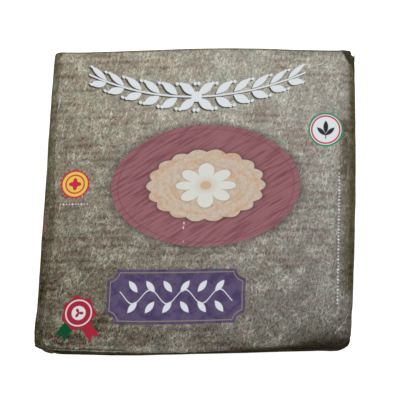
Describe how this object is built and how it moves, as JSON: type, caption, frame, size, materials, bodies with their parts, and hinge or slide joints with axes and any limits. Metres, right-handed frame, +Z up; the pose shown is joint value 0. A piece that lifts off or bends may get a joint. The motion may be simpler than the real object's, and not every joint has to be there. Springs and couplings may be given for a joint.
{
  "type": "paper-wrapped whole taleggio cheese",
  "caption": "Whole square soft cheese shut in printed paper, folded at both ends like a parcel, lying flat.",
  "frame": {"origin": "middle of the pack's base, on the surface it lies on", "axes": "+Z up through the printed top, +X to the right end and +Y to the back, as the print is read"},
  "size_m": [0.2074, 0.1974, 0.0534],
  "materials": {
    "printed_paper": "satin printed paper"
  },
  "bodies": {
    "root": {"wrapped_cheese": "printed_paper"}
  },
  "joints": []
}
